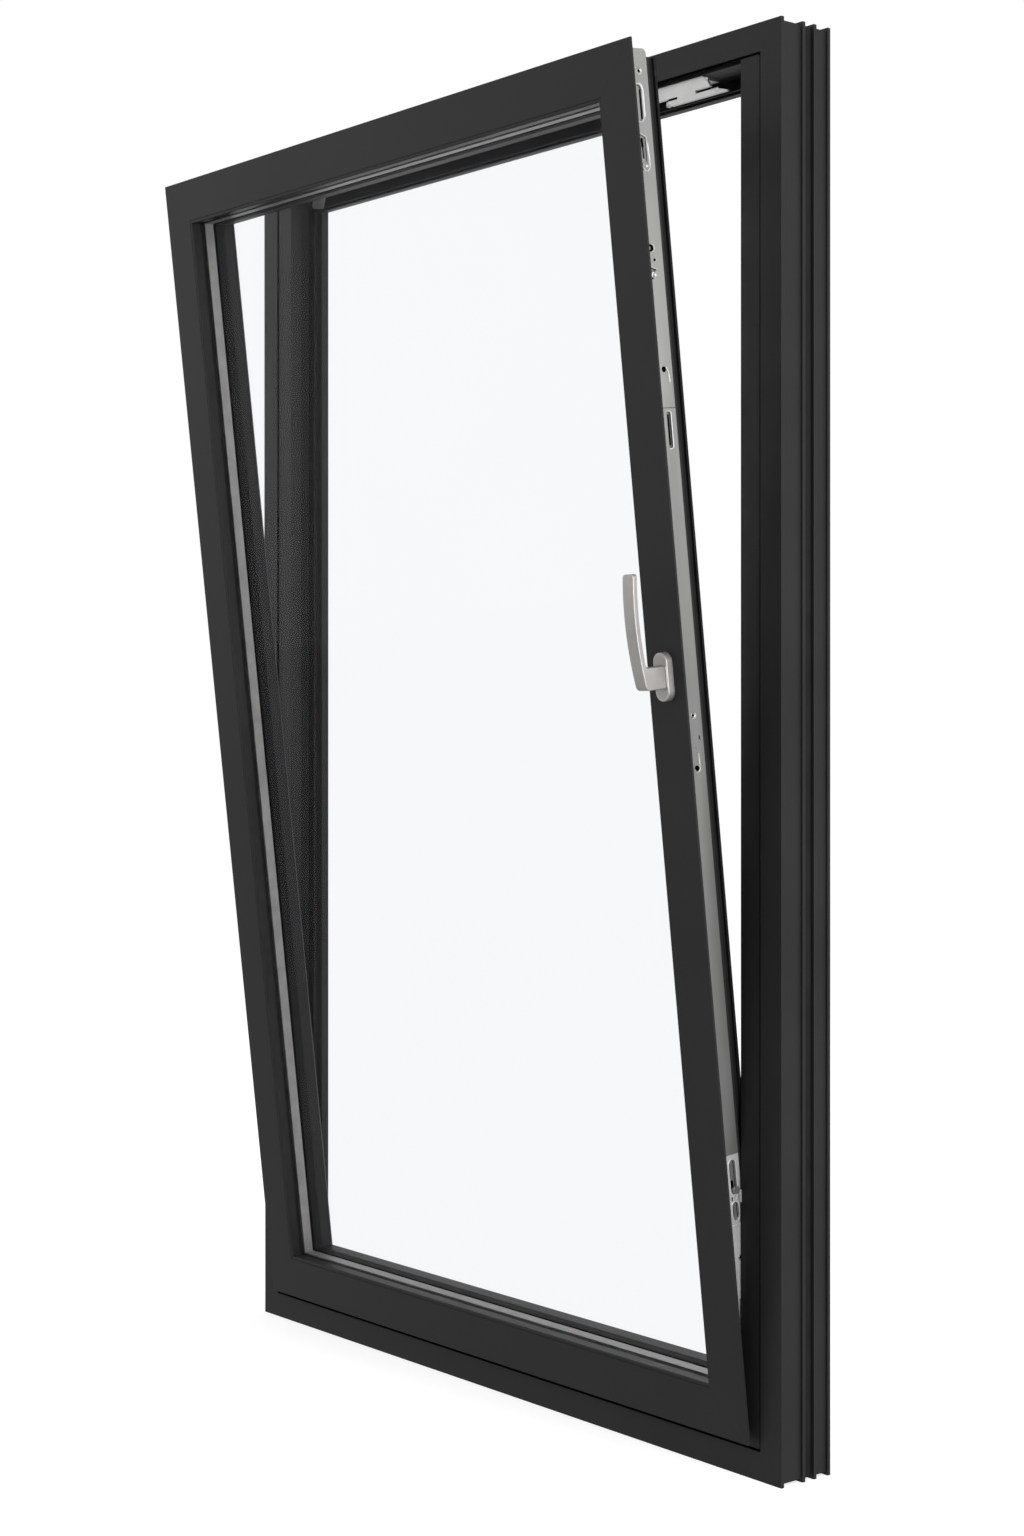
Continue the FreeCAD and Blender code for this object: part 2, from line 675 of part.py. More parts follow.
def build_fork_plate():
    """The plate below the lower faceplate: slots beside the cam, a side tab and a forked lower end."""
    top = "( lower_plate_start - plate_joint )"
    plate = stile_plate("tilt_lock_plate", f"{top} - fork_plate_length", top)
    slots = new_sketch(plate, "YZ_Plane", "slots")
    left = "plate_start + ( plate_width - cam_slot_width ) / 2"
    right = "plate_start + ( plate_width + cam_slot_width ) / 2"
    upright_slot(slots, left, right, f"{top} - fork_cam_drop - cam_head_radius",
                 f"{top} - fork_cam_drop + fork_upper_slot")
    upright_slot(slots, left, right, f"{top} - fork_lower_drop - fork_lower_slot", f"{top} - fork_lower_drop")
    gap = "plate_start + fork_gap_start"
    rectangle(slots, gap, f"{gap} + fork_gap_width", f"{top} - fork_plate_length - fit", f"{top} - fork_gap_drop")
    cut_through(plate, slots)
    short = new_sketch(plate, "YZ_Plane", "short_prong")
    rectangle(short, f"{gap} + fork_gap_width - fit", f"{PLATE_END} + fit", f"{top} - fork_plate_length - fit",
              f"{top} - fork_short_drop")
    cut_through(plate, short)
    cover = new_sketch(plate, "YZ_Plane", "cover")
    rectangle(cover, "plate_start + raised_margin", PLATE_END, f"{top} - fork_gap_drop",
              f"{top} - fork_raised_drop")
    pad(plate, cover, "0", "2 * raised_height")
    holes = new_sketch(plate, "YZ_Plane", "holes")
    for share in ("0.45", "0.78"):
        level = f"{top} - fork_raised_drop - ( fork_gap_drop - fork_raised_drop ) * {share}"
        circle(holes, "plate_start + plate_width / 2", level, "fork_hole_radius")
    cut_through(plate, holes)
    tab = new_sketch(plate, "YZ_Plane", "tab")
    rectangle(tab, f"{PLATE_END} - fork_tab_width", PLATE_END, f"{top} - fork_tab_drop - fork_tab_length",
              f"{top} - fork_tab_drop")
    pad(plate, tab, "0", "fork_tab_height")


def build_rod():
    """The rod that runs behind the plates, with the mushroom cam that the forked plate leaves free."""
    rod = new_body("drive_rod", stile_place())
    bar = new_sketch(rod, "YZ_Plane", "bar")
    middle = "plate_start + plate_width / 2"
    rectangle(bar, f"{middle} - rod_width / 2", f"{middle} + rod_width / 2",
              "lower_plate_start - fork_gap_drop + rod_end_gap", f"{PLATE_TOP} - rod_end_gap")
    pad(rod, bar, "-1 * plate_thickness - rod_thickness", "-1 * plate_thickness")
    level = "lower_plate_start - fork_cam_drop"
    neck = new_sketch(rod, "YZ_Plane", "cam_neck")
    circle(neck, middle, level, "cam_neck_radius")
    pad(rod, neck, "-1 * plate_thickness", "cam_height")
    head = new_sketch(rod, "YZ_Plane", "cam_head")
    circle(head, middle, level, "cam_head_radius")
    pad(rod, head, "cam_height - cam_head_thickness", "cam_height")


# Handle

def build_rosette():
    body = new_body("handle_rosette", handle_place())
    face = new_sketch(body, "XZ_Plane", "face")
    upright_slot(face, "-1 * rosette_width / 2", "rosette_width / 2", "-1 * rosette_height / 2",
                 "rosette_height / 2")
    pad(body, face, "0", "rosette_thickness")
    front = -size("rosette_thickness")
    round_edges(body, lambda edge: edge.BoundBox.YMax < front + 0.1, "rosette_round", "front_round")


def handle_place():
    middle = sash_width() / 2 - size("sash_face") / 2
    return sash_place().multiply(place(middle, 0, size("handle_height")))


def sketch_line(sketch, start, end):
    return sketch.addGeometry(Part.LineSegment(start, end), False)


def arc_about(sketch, middle, radius, start, end):
    """An arc that turns from its start to its end about a middle, with its radius tied to the sheet."""
    low = math.atan2(start.y - middle.y, start.x - middle.x)
    high = math.atan2(end.y - middle.y, end.x - middle.x)
    ring = Part.Circle(middle, Z_AXIS, (start - middle).Length)
    arc = sketch.addGeometry(Part.ArcOfCircle(ring, low % (2 * math.pi), high % (2 * math.pi)), False)
    tie(sketch, Sketcher.Constraint("Radius", arc, (start - middle).Length), radius)
    return arc


def build_lever():
    """The lever in side view, foot and neck in one outline, bowed towards the room and leaning out at its tip."""
    body = new_body("handle_lever", handle_place().multiply(place(0, -size("rosette_thickness"), 0)))
    foot = "( -1 * neck_height / 2 )"
    tip = "( lever_length - neck_height / 2 )"
    chord = "sqrt( lever_length * lever_length + lever_lean * lever_lean )"
    radius = f"( ( {chord} * {chord} / 4 + lever_bow * lever_bow ) / ( 2 * lever_bow ) )"
    middle_across = f"( ( {radius} - lever_bow ) * lever_length / {chord} - lever_reach - lever_lean / 2 )"
    middle_along = f"( ( {radius} - lever_bow ) * lever_lean / {chord} + ( lever_length - neck_height ) / 2 )"
    inner_radius = f"( {radius} - lever_thickness )"
    side = new_sketch(body, "YZ_Plane", "side")
    length = math.hypot(size("lever_length"), size("lever_lean"))
    bow = size("lever_bow")
    bow_radius = (length ** 2 / 4 + bow ** 2) / (2 * bow)
    shift = (bow_radius - bow) / length
    neck = size("neck_height") / 2
    high = size("lever_length") - neck
    middle = FreeCAD.Vector(shift * size("lever_length") - size("lever_reach") - size("lever_lean") / 2,
                            shift * size("lever_lean") + (high - neck) / 2, 0)

    def at(level, ring):
        return FreeCAD.Vector(middle.x - math.sqrt(ring ** 2 - (level - middle.y) ** 2), level, 0)

    inner = bow_radius - size("lever_thickness")
    points = {
        "neck_low": FreeCAD.Vector(0, -neck, 0),
        "foot": at(-neck, bow_radius),
        "tip": at(high, bow_radius),
        "tip_back": at(high, inner),
        "neck_top": at(neck, inner),
        "neck_high": FreeCAD.Vector(0, neck, 0),
    }
    low_line = sketch_line(side, points["neck_low"], points["foot"])
    outer = arc_about(side, middle, radius, points["tip"], points["foot"])
    tip_line = sketch_line(side, points["tip"], points["tip_back"])
    inside = arc_about(side, middle, inner_radius, points["tip_back"], points["neck_top"])
    top_line = sketch_line(side, points["neck_top"], points["neck_high"])
    back_line = sketch_line(side, points["neck_high"], points["neck_low"])
    for first, first_end, second, second_end in (
            (low_line, 2, outer, 2), (outer, 1, tip_line, 1), (tip_line, 2, inside, 1),
            (inside, 2, top_line, 1), (top_line, 2, back_line, 1), (back_line, 2, low_line, 1)):
        side.addConstraint(Sketcher.Constraint("Coincident", first, first_end, second, second_end))
    for arc in (outer, inside):
        tie_point(side, arc, 3, middle_across, middle_along, middle)
    tie_point(side, low_line, 1, "0", foot, points["neck_low"])
    tie_point(side, top_line, 2, "0", "neck_height / 2", points["neck_high"])
    for line, end, level, point in ((low_line, 2, foot, "foot"), (tip_line, 1, tip, "tip"),
                                    (tip_line, 2, tip, "tip_back"), (top_line, 1, "neck_height / 2", "neck_top")):
        tie(side, Sketcher.Constraint("DistanceY", -1, 1, line, end, points[point].y), level)
    pad(body, side, "-1 * lever_width / 2", "lever_width / 2")

    def corner_at(point):
        return lambda edge: runs_along(edge, X_AXIS) and \
            math.hypot(edge.BoundBox.YMin - point.x, edge.BoundBox.ZMin - point.y) < 0.5

    round_edges(body, corner_at(points["foot"]), "foot_round", "foot_corner")
    round_edges(body, corner_at(points["neck_top"]), "neck_round", "neck_corner")
    round_edges(body, corner_at(points["neck_low"]), "neck_round", "low_corner")
    round_edges(body, corner_at(points["neck_high"]), "neck_round", "high_corner")

    def tip_corner(edge):
        return runs_along(edge, Y_AXIS) and edge.BoundBox.ZMin > high - 0.1

    round_edges(body, tip_corner, "tip_round", "tip_corners")

    def outline_edge(edge):
        box = edge.BoundBox
        half = size("lever_width") / 2
        on_side = abs(box.XMin - box.XMax) < 0.01 and abs(abs(box.XMin) - half) < 0.01
        return on_side and box.YMax < -size("neck_round") - 0.1

    round_edges(body, outline_edge, "lever_round", "edges")


def build_handle():
    build_rosette()
    build_lever()


# Keeps on the frame

def build_head_keep():
    """The keep under the head: a foot, and a face with a slotted nose on one side and a hook on the other."""
    corner = size("frame_width") / 2 - size("keep_offset")
    depth = size("head_recess") + size("keep_face_depth")
    keep = new_body("stay_keep_plate",
                    frame_place().multiply(place(corner, depth, size("frame_height") - size("keep_floor"))))
    face = new_sketch(keep, "XZ_Plane", "face")
    slot_end = "-1 * keep_upper_end + keep_nose - keep_slot_length"
    slot_low = "-1 * ( keep_slot_drop + keep_slot_height )"
    low = "-1 * keep_face_height"
    hook_end = "-1 * keep_hook_start + keep_hook_length"
    outline(face, [
        ("-1 * keep_length", "0"), ("-1 * keep_upper_end", "0"),
        ("-1 * keep_upper_end + keep_nose / 2", "-1 * keep_thickness"),
        ("-1 * keep_upper_end + keep_nose", "-1 * keep_slot_drop"),
        (slot_end, "-1 * keep_slot_drop"), (slot_end, slot_low), ("-1 * keep_upper_end + keep_nose", slot_low),
        ("-1 * keep_lobe", slot_low), ("0", "-1 * keep_tip_drop"), ("0", low),
        ("-1 * keep_hook_start + keep_hook_length / 2", low), ("-1 * keep_hook_start", f"{low} + keep_thickness"),
        ("-1 * keep_hook_start + keep_hook_length / 4", "-1 * keep_strip_height - keep_hook_gap"),
        (hook_end, "-1 * keep_strip_height - keep_hook_gap"), (hook_end, "-1 * keep_strip_height"),
        ("-1 * keep_length", "-1 * keep_strip_height"),
    ])
    pad(keep, face, "-1 * keep_thickness", "0")
    foot = new_sketch(keep, "XY_Plane", "foot")
    rectangle(foot, "-1 * keep_length", "-1 * keep_upper_end", "0",
              "room_shell - head_recess - 2 * keep_face_depth")
    pad(keep, foot, "-1 * keep_thickness", "0")


def build_jamb_keeps():
    """The keeps that hold the cams of the shut sash, on the floor of the lock jamb behind its landing."""
    keeps = new_body("jamb_keeps", frame_place().multiply(place(size("frame_width") / 2 - size("keep_floor"), 0, 0)))
    base = "landing_back + bearing_margin"
    back = "room_shell - bearing_margin"
    shut = "sash_inset + sash_raise"
    levels = (
        ("low", f"lower_plate_start - fork_cam_drop + {shut}"),
        ("high", f"{PLATE_TOP} - cam_slot_drop - cam_slot_length / 2 + {shut}"),
    )
    for name, level in levels:
        section = new_sketch(keeps, "XY_Plane", name)
        outline(section, [
            ("0", base), ("-1 * jamb_keep_reach", base), ("-1 * jamb_keep_reach", f"{base} + jamb_keep_wall"),
            ("-1 * keep_thickness", f"{base} + jamb_keep_wall"), ("-1 * keep_thickness", back), ("0", back),
        ])
        pad(keeps, section, f"{level} - jamb_keep_length / 2", f"{level} + jamb_keep_length / 2")


# Pivots at the foot of the sash

def span(sign, low, high):
    """A stretch along X, mirrored for a piece on the hinge side."""
    return (low, high) if sign > 0 else (f"-1 * ( {high} )", f"-1 * ( {low} )")


def pivot_ear(body, name, stretch, centre, foot, bore=None):
    """An ear with a round end about the tilt axis, joined to a foot."""
    depth, width = centre
    round_end = new_sketch(body, "YZ_Plane", name + "_end")
    circle(round_end, depth, width, "ear_radius")
    pad(body, round_end, *stretch)
    web = new_sketch(body, "YZ_Plane", name + "_web")
    rectangle(web, f"{depth} - ear_radius", f"{depth} + ear_radius", foot, width)
    pad(body, web, *stretch)
    if bore is not None:
        hole = new_sketch(body, "YZ_Plane", name + "_bore")
        circle(hole, depth, width, bore)
        cut_through(body, hole)


def build_bottom_bearings():
    """The pivots that carry the tilted sash: an ear with a pin on the sill, an ear with a bore on the sash."""
    reach = size("frame_width") / 2 - size("keep_floor") - size("bearing_offset")
    on_sash = ("pivot_depth + sash_proud", "pivot_height - sash_inset - sash_raise")
    for sign, frame_name, sash_name in ((-1, "corner_bearing", "corner_bracket"),
                                        (1, "tilt_bearing", "tilt_bracket")):
        foot = new_body(frame_name, frame_place().multiply(place(sign * reach, 0, 0)))
        plate = new_sketch(foot, "YZ_Plane", "plate")
        rectangle(plate, "landing_back + bearing_margin", "room_shell - bearing_margin", "keep_floor",
                  "keep_floor + bearing_plate")
        pad(foot, plate, *span(sign, "fit", "bearing_length"))
        pivot_ear(foot, "ear", span(sign, "fit", "ear_thickness + fit"), ("pivot_depth", "pivot_height"),
                  "keep_floor")
        pin = new_sketch(foot, "YZ_Plane", "pin")
        circle(pin, "pivot_depth", "pivot_height", "pin_radius")
        pad(foot, pin, *span(sign, "-1 * ear_thickness - pin_overhang", "2 * fit"))
        arm = new_body(sash_name, sash_place().multiply(place(sign * reach, 0, 0)))
        leaf = new_sketch(arm, "YZ_Plane", "leaf")
        rectangle(leaf, "pivot_depth + sash_proud - ear_radius - bearing_margin", "sash_room_shell - break_lip",
                  "overlap - bearing_plate", "overlap")
        pad(arm, leaf, *span(sign, "-1 * bearing_length", "-1 * fit"))
        pivot_ear(arm, "ear", span(sign, "-1 * ear_thickness", "-1 * fit"), on_sash,
                  "overlap - bearing_margin", "pin_radius + pin_play")


# Stay between the head and the top rail

def build_stay():
    """The arm that holds the tilted sash, its bearing under the head and its shoe on the top rail."""
    hinge_end = -size("frame_width") / 2 + size("keep_floor") + size("bearing_offset")
    depth = (size("landing_back") + size("room_shell")) / 2
    height = size("frame_height") - size("keep_floor") - size("stay_drop")
    start = frame_place().multVec(FreeCAD.Vector(hinge_end, depth, height))
    rail_top = sash_height() - size("overlap")
    seat = sash_place().multVec(FreeCAD.Vector(hinge_end, size("plate_start") + size("plate_width") / 2, rail_top))
    away = start.y - seat.y
    along = math.sqrt(size("stay_arm_length") ** 2 - away ** 2)
    angle = -math.degrees(math.atan2(away, along))

    arm = new_body("stay_arm", place(start.x, start.y, start.z, Z_AXIS, angle))
    strip = new_sketch(arm, "XY_Plane", "strip")
    half = "stay_arm_width / 2"
    rectangle(strip, "0", "stay_arm_length", f"-1 * {half}", half)
    pad(arm, strip, "-1 * stay_arm_thickness", "0")
    for end, spot in (("frame_end", "0"), ("sash_end", "stay_arm_length")):
        boss = new_sketch(arm, "XY_Plane", end)
        circle(boss, spot, "0", half)
        pad(arm, boss, "-1 * stay_arm_thickness", "0")

    bearing = new_body("stay_bearing", place(start.x, start.y, start.z))
    stud = new_sketch(bearing, "XY_Plane", "stud")
    circle(stud, "0", "0", "stay_pin_radius")
    pad(bearing, stud, "0", "stay_drop")
    plate = new_sketch(bearing, "XY_Plane", "plate")
    reach = "( ( room_shell - landing_back ) / 2 - bearing_margin )"
    rectangle(plate, "-1 * bearing_length / 2", "bearing_length / 2", f"-1 * {reach}", reach)
    pad(bearing, plate, "stay_drop - keep_thickness", "stay_drop")

    shoe = new_body("stay_shoe", sash_place().multiply(place(start.x + along, 0, 0)))
    plate = new_sketch(shoe, "XY_Plane", "plate")
    rectangle(plate, "-1 * stay_plate_length / 2", "stay_plate_length / 2", "plate_start", PLATE_END)
    top = f"( {SASH_HEIGHT} - overlap )"
    pad(shoe, plate, f"{top} - plate_thickness", top)

    post = new_body("stay_pivot", place(start.x + along, seat.y, seat.z))
    base = new_sketch(post, "XY_Plane", "post")
    circle(base, "0", "0", "stay_pin_radius")
    over = "( plate_start + plate_width / 2 - sash_proud - pivot_depth ) * sin( sash_tilt * 1 deg )"
    up = f"( {top} - pivot_height + sash_inset + sash_raise ) * cos( sash_tilt * 1 deg )"
    arm_low = "frame_height - keep_floor - stay_drop - stay_arm_thickness"
    pad(post, base, "0", f"{arm_low} - pivot_height - {over} - {up} - fit")


def build_parts():
    build_frame()
    build_sash()
    build_glazing()
    build_gaskets()
    build_upper_faceplate()
    build_lower_faceplate()
    build_fork_plate()
    build_rod()
    build_handle()
    build_head_keep()
    build_jamb_keeps()
    build_bottom_bearings()
    build_stay()
    doc.recompute()


def check_parts():
    for item in doc.Objects:
        if "Invalid" in item.State or "Error" in item.State:
            raise RuntimeError(f"{item.Label} failed: {item.State}")
    for node in nodes:
        if node.Shape.isNull() or not node.Shape.isValid():
            raise RuntimeError(f"{node.Label} has no valid shape")


def write_parts():
    os.makedirs("parts", exist_ok=True)
    for node in nodes:
        node.Shape.exportStep(os.path.join("parts", node.Label + ".step"))
        print(node.Label, len(node.Shape.Solids), round(node.Shape.Volume / 1000, 1), "cm3")


build_parts()
check_parts()
write_parts()
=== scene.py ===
import math

import bmesh
import bpy
from mathutils import Matrix, Vector


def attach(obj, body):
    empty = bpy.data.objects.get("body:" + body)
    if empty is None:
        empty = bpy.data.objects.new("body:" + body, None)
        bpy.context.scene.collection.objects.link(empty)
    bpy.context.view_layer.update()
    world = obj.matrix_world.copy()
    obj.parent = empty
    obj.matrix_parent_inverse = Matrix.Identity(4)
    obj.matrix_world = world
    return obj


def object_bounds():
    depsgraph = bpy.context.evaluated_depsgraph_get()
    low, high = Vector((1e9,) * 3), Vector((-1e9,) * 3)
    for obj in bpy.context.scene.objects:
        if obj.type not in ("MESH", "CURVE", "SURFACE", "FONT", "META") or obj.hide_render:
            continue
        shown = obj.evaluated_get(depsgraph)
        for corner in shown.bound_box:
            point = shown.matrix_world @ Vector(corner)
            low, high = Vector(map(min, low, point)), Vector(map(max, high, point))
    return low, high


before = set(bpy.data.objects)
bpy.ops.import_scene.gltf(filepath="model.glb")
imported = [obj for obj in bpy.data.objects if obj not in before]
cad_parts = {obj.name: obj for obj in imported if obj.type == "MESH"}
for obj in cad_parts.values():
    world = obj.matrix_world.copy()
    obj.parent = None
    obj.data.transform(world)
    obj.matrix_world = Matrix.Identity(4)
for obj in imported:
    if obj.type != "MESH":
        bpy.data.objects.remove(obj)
CAD_BOX = [list(map(float, corner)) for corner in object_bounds()]

# Photograph's viewpoint: a level camera 0.79 m above the floor, on the handle's side
PHOTO_HEIGHT = 1536
FOCAL_PIXELS = 2424.25
HORIZON_ROW = 716.89
SENSOR_WIDTH = 36.0
CAMERA_AT = (2.21431, -1.78991, 0.78291)
CAMERA_TURN = 50.80

# Where the tilted sash lies: it turns about a line along X. In its own place Y is depth, and Z is height
# above its foot.
TILT = math.radians(6.6)
TILT_LINE = Vector((0, -0.0035, 0.047))
SASH_FOOT = Vector((0, -0.026, -0.010))
SASH = Matrix.Translation(TILT_LINE) @ Matrix.Rotation(TILT, 4, "X") @ Matrix.Translation(SASH_FOOT)

# Places on the pieces that carry the small hardware, in metres
STILE_FACE = 0.413
PLATE_LINE = 0.0325
HANDLE_MIDDLE = (0.414, 0.795)
KEEP_CORNER = Vector((0.387, -0.0085, 1.463))
LANDING_FACE = -0.016
FRAME_FOOT = -0.003

# Plates that are lighter in the photo than the rest of the hardware
# Their finishes are lighter copies of the hardware metal, painted light in place of the light these plates
# catch
SPECIAL_NODES = {"stay_keep_plate": "painted_lit_metal", "tilt_lock_plate": "painted_lit_satin_metal"}

# With a real index of 1.5 the four surfaces would mirror the white studio over the bars behind them
GLASS_INDEX = 1.06

# Strengths of the white studio, as it lights the window and as the window mirrors it
AMBIENT_LIGHT = 0.72
BACKDROP = 1.0
FLOOR_GLOW = 0.66
FLOOR_MIRRORED = 0.7
FLOOR_REACH = 150.0

# Soft square lamps, all turned to one point: name, place, width in metres and power in watts
LAMP_TARGET = (0, 0, 0.75)
LAMPS = (
    ("key", (0.8, -2.8, 2.8), 1.8, 16),
    ("fill", (-2.4, -2.2, 1.6), 2.2, 6),
    ("rear", (-1.6, 3.0, 2.2), 1.8, 20),
    ("side", (3.4, -0.3, 1.1), 1.8, 110),
)


# Shader helpers

def new_material(name):
    """A node material with a Principled shader; returns the material, its nodes, links and shader."""
    material = bpy.data.materials.new(name)
    material.use_nodes = True
    tree = material.node_tree
    return material, tree.nodes, tree.links, tree.nodes["Principled BSDF"]


def noise(nodes, links, scale, stretch=(1, 1, 1)):
    """Noise in the object's own coordinates, in features per metre."""
    place = nodes.new("ShaderNodeTexCoord")
    mapping = nodes.new("ShaderNodeMapping")
    mapping.inputs["Scale"].default_value = stretch
    texture = nodes.new("ShaderNodeTexNoise")
    texture.inputs["Scale"].default_value = scale
    texture.inputs["Detail"].default_value = 3.0
    links.new(place.outputs["Object"], mapping.inputs["Vector"])
    links.new(mapping.outputs["Vector"], texture.inputs["Vector"])
    return texture.outputs["Fac"]


def spread(nodes, links, value, low, high):
    """Maps a noise value to a narrow range of numbers."""
    ramp = nodes.new("ShaderNodeMapRange")
    ramp.inputs["From Min"].default_value = 0.3
    ramp.inputs["From Max"].default_value = 0.7
    ramp.inputs["To Min"].default_value = low
    ramp.inputs["To Max"].default_value = high
    links.new(value, ramp.inputs["Value"])
    return ramp.outputs["Result"]


def tint(nodes, links, value, dark, light):
    """Blends two colours by a noise value."""
    ramp = nodes.new("ShaderNodeValToRGB")
    for stop, position, colour in zip(ramp.color_ramp.elements, (0.3, 0.7), (dark, light)):
        stop.position = position
        stop.color = (*colour, 1)
    links.new(value, ramp.inputs["Fac"])
    return ramp.outputs["Color"]


def relief(nodes, links, shader, value, height, edge=0.0):
    """A fine bump, over edges that look rounded to a radius."""
    bump = nodes.new("ShaderNodeBump")
    bump.inputs["Strength"].default_value = 0.6
    bump.inputs["Distance"].default_value = height
    links.new(value, bump.inputs["Height"])
    if edge:
        rounded = nodes.new("ShaderNodeBevel")
        rounded.samples = 6
        rounded.inputs["Radius"].default_value = edge
        links.new(rounded.outputs["Normal"], bump.inputs["Normal"])
    links.new(bump.outputs["Normal"], shader.inputs["Normal"])


def emission(nodes, strength):
    """Plain white light of a given strength."""
    light = nodes.new("ShaderNodeEmission")
    light.inputs["Strength"].default_value = strength
    return light.outputs["Emission"]


def finish_material(name, dark, light, scale, rough, metallic=0.0, grain=1500.0, height=0.00002,
                    stretch=(1, 1, 1), specular=0.5, edge=0.0):
    """A surface whose colour and gloss vary a little over a fine relief; scale and grain are per metre."""
    material, nodes, links, shader = new_material(name)
    broad = noise(nodes, links, scale, stretch)
    fine = noise(nodes, links, grain, stretch)
    links.new(tint(nodes, links, broad, dark, light), shader.inputs["Base Color"])
    links.new(spread(nodes, links, broad, *rough), shader.inputs["Roughness"])
    relief(nodes, links, shader, fine, height, edge)
    shader.inputs["Metallic"].default_value = metallic
    shader.inputs["Specular IOR Level"].default_value = specular
    return material


def glass_material():
    """Clear float glass with a faint cool cast and weak reflections; its shadow lets the light through."""
    material, nodes, links, shader = new_material("glass")
    broad = noise(nodes, links, 3.0)
    cast = tint(nodes, links, broad, (0.958, 0.966, 0.971), (0.963, 0.970, 0.975))
    links.new(cast, shader.inputs["Base Color"])
    relief(nodes, links, shader, broad, 0.00001)
    shader.inputs["Roughness"].default_value = 0.0
    shader.inputs["IOR"].default_value = GLASS_INDEX
    shader.inputs["Transmission Weight"].default_value = 1.0
    clear = nodes.new("ShaderNodeBsdfTransparent")
    clear.inputs["Color"].default_value = (0.975, 0.981, 0.985, 1)
    path = nodes.new("ShaderNodeLightPath")
    mix = nodes.new("ShaderNodeMixShader")
    links.new(path.outputs["Is Shadow Ray"], mix.inputs["Fac"])
    links.new(shader.outputs["BSDF"], mix.inputs[1])
    links.new(clear.outputs["BSDF"], mix.inputs[2])
    links.new(mix.outputs["Shader"], nodes["Material Output"].inputs["Surface"])
    return material


FINISHES = {
    "frame_coating": {
        "dark": (0.0130, 0.0130, 0.0131), "light": (0.0160, 0.0160, 0.0161), "scale": 8.0,
        "rough": (0.38, 0.46), "grain": 2200.0, "height": 0.00003, "specular": 0.14, "edge": 0.0006,
    },
    "polyamide": {
        "dark": (0.006, 0.006, 0.0065), "light": (0.009, 0.009, 0.0095), "scale": 30.0,
        "rough": (0.5, 0.62), "specular": 0.1,
    },
    "rubber_seal": {
        "dark": (0.005, 0.005, 0.005), "light": (0.008, 0.008, 0.008), "scale": 40.0,
        "rough": (0.6, 0.75), "specular": 0.08, "edge": 0.0008,
    },
    "spacer_metal": {
        "dark": (0.17, 0.166, 0.162), "light": (0.22, 0.215, 0.21), "scale": 60.0,
        "rough": (0.4, 0.5), "metallic": 0.5, "specular": 0.3,
    },
    "hardware_metal": {
        "dark": (0.27, 0.27, 0.265), "light": (0.33, 0.33, 0.325), "scale": 25.0,
        "rough": (0.34, 0.44), "metallic": 0.85, "stretch": (1, 1, 0.15), "edge": 0.0003,
    },
    # Near black and without gloss: painted shade, for pieces that stand where there is only shadow
    "painted_shade": {
        "dark": (0.001, 0.001, 0.001), "light": (0.002, 0.002, 0.002), "scale": 40.0,
        "rough": (0.8, 0.9), "specular": 0.0,
    },
    # A lighter copy of the hardware metal: painted light on the keep's plate, and painted highlights on small
    # rims and tips
    "painted_lit_metal": {
        "dark": (0.40, 0.40, 0.395), "light": (0.50, 0.50, 0.49), "scale": 40.0,
        "rough": (0.3, 0.38), "metallic": 0.85, "edge": 0.0005,
    },
    # A lighter, less glossy copy of the hardware metal: painted light on the lower lock plate, and painted
    # highlights on slot rims
    "painted_lit_satin_metal": {
        "dark": (0.33, 0.33, 0.325), "light": (0.38, 0.38, 0.375), "scale": 40.0,
        "rough": (0.42, 0.5), "metallic": 0.25, "edge": 0.0005,
    },
    # A lighter copy of the hardware metal for thin lips, rims and heads: painted highlights
    "painted_highlight": {
        "dark": (0.44, 0.44, 0.435), "light": (0.52, 0.52, 0.515), "scale": 60.0,
        "rough": (0.3, 0.38), "metallic": 0.3, "height": 0.00001,
    },
    "handle_metal": {
        "dark": (0.325, 0.314, 0.302), "light": (0.365, 0.354, 0.342), "scale": 40.0,
        "rough": (0.42, 0.5), "metallic": 0.8, "edge": 0.0006,
    },
}
MATERIALS = {name: finish_material(name, **finish) for name, finish in FINISHES.items()}
MATERIALS["glass"] = glass_material()


def dress_nodes():
    """Gives every node of the CAD model the material of its slot."""
    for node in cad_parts.values():
        for slot in node.material_slots:
            name = slot.material.name.split(".")[0]
            slot.material = MATERIALS[name]
    for name, finish in SPECIAL_NODES.items():
        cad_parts[name].material_slots[0].material = MATERIALS[finish]


# Places for small hardware; all but the first are points given in millimetres

def on_stile(height, out=0.0, depth=PLATE_LINE):
    """A place on the lock stile's plates in metres: height on the sash, way out of the plate, depth."""
    return SASH @ Matrix.Translation((STILE_FACE + out, depth, height)) @ Matrix.Rotation(math.pi / 2, 4, "Y")


def stile_point(depth, height, out):
    """A point on the lock stile's plates."""
    return SASH @ Vector((STILE_FACE + out / 1000, depth / 1000, height / 1000))


def rosette_point(across, height, out):
    """A point on the handle's rosette, about its middle."""
    return SASH @ Vector((HANDLE_MIDDLE[0] + across / 1000, -out / 1000, HANDLE_MIDDLE[1] + height / 1000))


def keep_point(across, height, out):
    """A point on the keep's face, about its corner under the head."""
    return KEEP_CORNER + Vector((across / 1000, -out / 1000, height / 1000))


def landing_point(across, height, out):
    """A point on the frame's landing, where the sash's flange comes to rest."""
    return Vector((across / 1000, LANDING_FACE - out / 1000, FRAME_FOOT + height / 1000))


def arc(middle, radius, start, end, steps=12):
    """Points of an arc between two angles in degrees."""
    angles = [math.radians(start + (end - start) * step / steps) for step in range(steps + 1)]
    return [(middle[0] + radius * math.cos(angle), middle[1] + radius * math.sin(angle)) for angle in angles]


def slot_rim(middle, low, high, radius):
    """Points round an upright slot with round ends."""
    return arc((middle, high - radius), radius, 0, 180) + arc((middle, low + radius), radius, 180, 360)


# Shapes of small hardware; slot names the material of record, finish the one that is rendered

